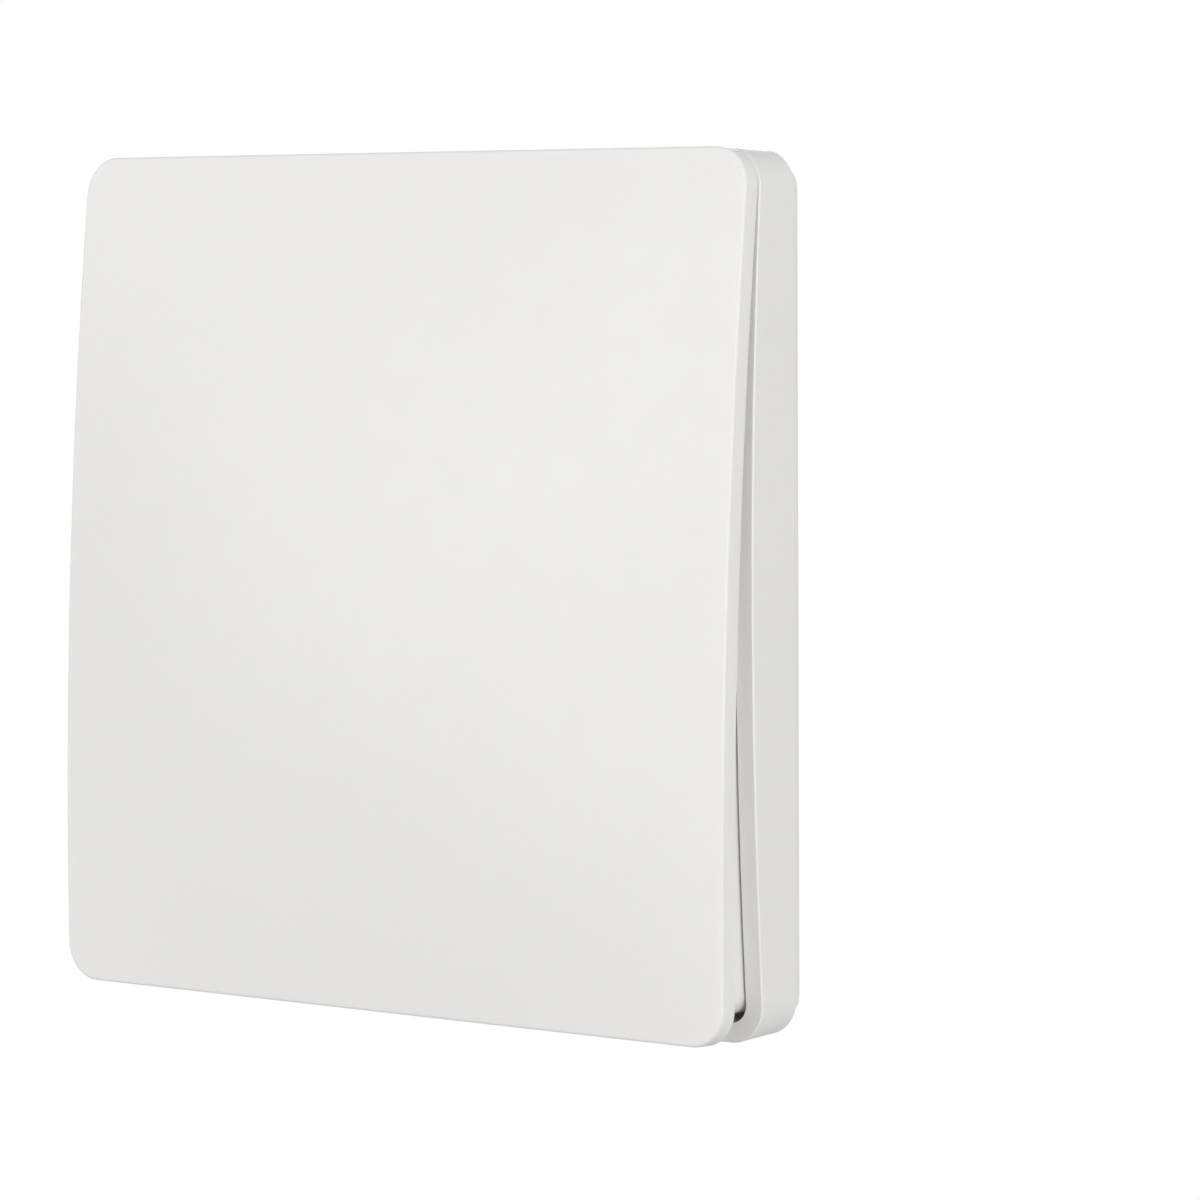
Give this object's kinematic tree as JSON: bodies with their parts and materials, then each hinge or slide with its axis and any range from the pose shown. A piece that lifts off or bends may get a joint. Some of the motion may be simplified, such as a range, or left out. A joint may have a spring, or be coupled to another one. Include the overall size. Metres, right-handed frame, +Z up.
{
  "type": "wireless wall switch",
  "caption": "Square battery-powered wireless wall switch: one pillow-shaped rocker hinged at the top of a thin housing on a stepped wall plate.",
  "frame": {"origin": "centre of the wall plate's back face, on the wall", "axes": "+Z up, +X to the right of someone who faces the switch, +Y into the wall"},
  "size_m": [0.0862, 0.0166, 0.086],
  "materials": {
    "face_plastic": "very fine matt texture, warm white",
    "housing_plastic": "very fine matt texture, warm white",
    "plate_plastic": "fine matt texture, warm white",
    "cover_plastic": "satin, warm white",
    "black_plastic": "satin black",
    "plunger_plastic": "satin ivory",
    "screw_steel": "zinc plated",
    "cell_steel": "satin stainless",
    "contact_nickel": "bright nickel",
    "terminal_tin": "tinned",
    "shield_steel": "tinned sheet",
    "switch_steel": "pressed sheet",
    "board_laminate": "green solder mask",
    "radio_laminate": "blue solder mask",
    "led_resin": "clear resin",
    "capacitor_ceramic": "fired ceramic",
    "resistor_ceramic": "glazed",
    "soft_silicone": "soft translucent grey"
  },
  "bodies": {
    "root": {"housing": "housing_plastic", "wall_plate": "plate_plastic", "rear_cover": "cover_plastic", "rear_cover_screws": "screw_steel", "board_screws": "screw_steel", "circuit_board": "board_laminate", "coin_cell": "cell_steel", "cell_holder": "black_plastic", "cell_positive_clip": "contact_nickel", "cell_negative_spring": "contact_nickel", "switch_terminals": "terminal_tin", "radio_board": "radio_laminate", "radio_shield": "shield_steel", "crystal": "shield_steel", "status_led": "led_resin", "capacitors": "capacitor_ceramic", "resistors": "resistor_ceramic", "left_switch_base": "black_plastic", "right_switch_base": "black_plastic", "left_switch_cover": "switch_steel", "right_switch_cover": "switch_steel", "left_switch_dome": "soft_silicone", "right_switch_dome": "soft_silicone"},
    "rocker": {"rocker": "face_plastic"},
    "left_plunger": {"left_switch_plunger": "plunger_plastic"},
    "right_plunger": {"right_switch_plunger": "plunger_plastic"}
  },
  "joints": [
    {"name": "rocker_press", "type": "hinge", "parent": "root", "child": "rocker", "pos_m": [0, -0.0063, 0.036], "axis": [1, 0, 0], "range_deg": [0, 0.95], "stiffness_Nm_per_rad": 2, "springref_deg": -0.57},
    {"name": "left_plunger_slide", "type": "slide", "parent": "root", "child": "left_plunger", "axis": [0, 1, 0], "range_m": [0, 0.0006], "deforming": ["left_switch_dome"]},
    {"name": "right_plunger_slide", "type": "slide", "parent": "root", "child": "right_plunger", "axis": [0, 1, 0], "range_m": [0, 0.0006], "deforming": ["right_switch_dome"]}
  ],
  "couplings": [
    {"joint": "left_plunger_slide", "follows": "rocker_press", "m_per_rad": 0.036},
    {"joint": "right_plunger_slide", "follows": "rocker_press", "m_per_rad": 0.036}
  ]
}
